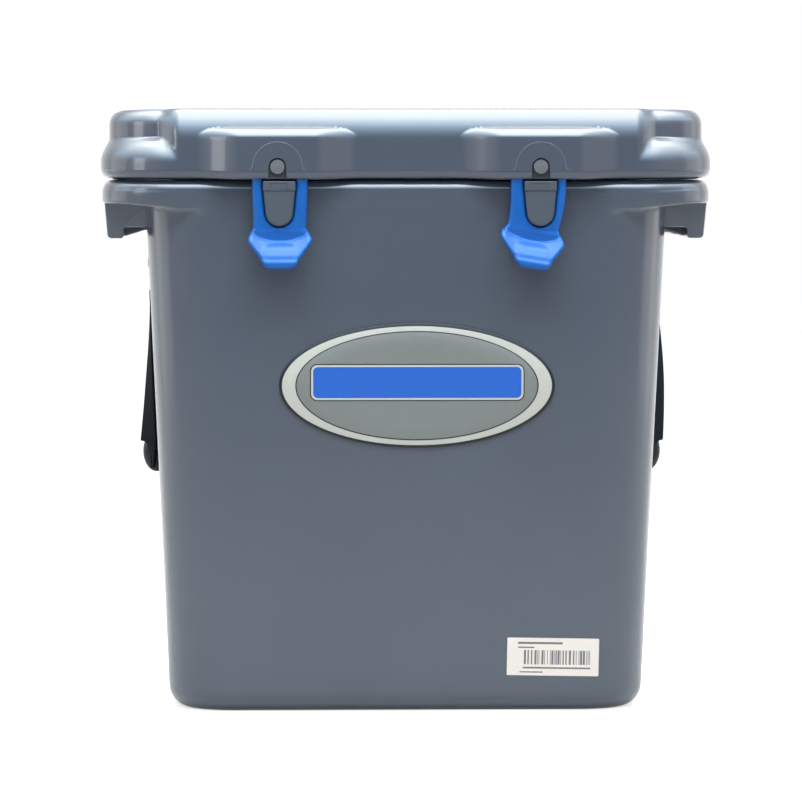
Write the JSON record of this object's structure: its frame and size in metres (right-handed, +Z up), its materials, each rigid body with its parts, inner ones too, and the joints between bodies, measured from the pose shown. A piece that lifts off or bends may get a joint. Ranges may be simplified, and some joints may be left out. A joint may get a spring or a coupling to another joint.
{
  "type": "hard cooler box",
  "caption": "Foam-filled moulded cool box with a rear-hinged lid, rubber pull latches, webbing side handles and a drain plug.",
  "frame": {"origin": "centre of the flat base, on the floor", "axes": "+Z up, the front with the latches faces -Y, +X to the right seen from the front"},
  "size_m": [0.4528, 0.4334, 0.446],
  "materials": {
    "body": "satin moulded polyethylene, blue-grey",
    "hook": "matt moulded plastic, grey",
    "latch": "smooth bright blue rubber",
    "webbing": "black woven webbing",
    "grip": "smooth black grip with a dull shine",
    "fitting": "black moulded plastic",
    "steel": "brushed stainless steel",
    "foam": "rigid insulating foam",
    "seal": "black rubber seal",
    "badge": "printed oval badge, grey field in a pale ring",
    "paper": "cream paper label"
  },
  "bodies": {
    "tub": {"tub_shell": "body", "tub_foam": "foam", "left_hinge_pin": "steel", "right_hinge_pin": "steel", "left_hook": "hook", "right_hook": "hook", "left_strap_ends": "webbing", "left_strap_plates": "fitting", "left_plate_screws": "steel", "right_strap_ends": "webbing", "right_strap_plates": "fitting", "right_plate_screws": "steel", "badge": "badge", "paper_label": "paper", "drain_bushing": "fitting", "drain_nut": "fitting"},
    "lid": {"lid_shell": "body", "lid_foam": "foam", "lid_seal": "seal", "left_latch_root": "latch", "left_latch_pin": "steel", "right_latch_root": "latch", "right_latch_pin": "steel"},
    "left_latch": {"left_latch_loop": "latch"},
    "right_latch": {"right_latch_loop": "latch"},
    "left_handle": {"left_strap": "webbing", "left_grip": "grip"},
    "right_handle": {"right_strap": "webbing", "right_grip": "grip"},
    "drain_cap": {"drain_plug": "fitting", "drain_seal": "seal"}
  },
  "joints": [
    {"name": "lid_hinge", "type": "hinge", "parent": "tub", "child": "lid", "pos_m": [0, 0.2074, 0.378], "axis": [-1, 0, 0], "range_deg": [0, 105]},
    {"name": "left_latch_pull", "type": "hinge", "parent": "lid", "child": "left_latch", "pos_m": [-0.0964, -0.2029, 0.389], "axis": [-1, 0, 0], "range_deg": [0, 90]},
    {"name": "right_latch_pull", "type": "hinge", "parent": "lid", "child": "right_latch", "pos_m": [0.0964, -0.2029, 0.389], "axis": [-1, 0, 0], "range_deg": [0, 90]},
    {"name": "left_handle_swing", "type": "hinge", "parent": "tub", "child": "left_handle", "pos_m": [-0.19172, 0, 0.309], "axis": [0, 1, 0], "range_deg": [0, 120]},
    {"name": "right_handle_swing", "type": "hinge", "parent": "tub", "child": "right_handle", "pos_m": [0.19172, 0, 0.309], "axis": [0, -1, 0], "range_deg": [0, 120]},
    {"name": "drain_plug_turn", "type": "hinge", "parent": "tub", "child": "drain_cap", "pos_m": [0, 0.19, 0.056], "axis": [0, 1, 0], "range_deg": [0, 360]}
  ]
}
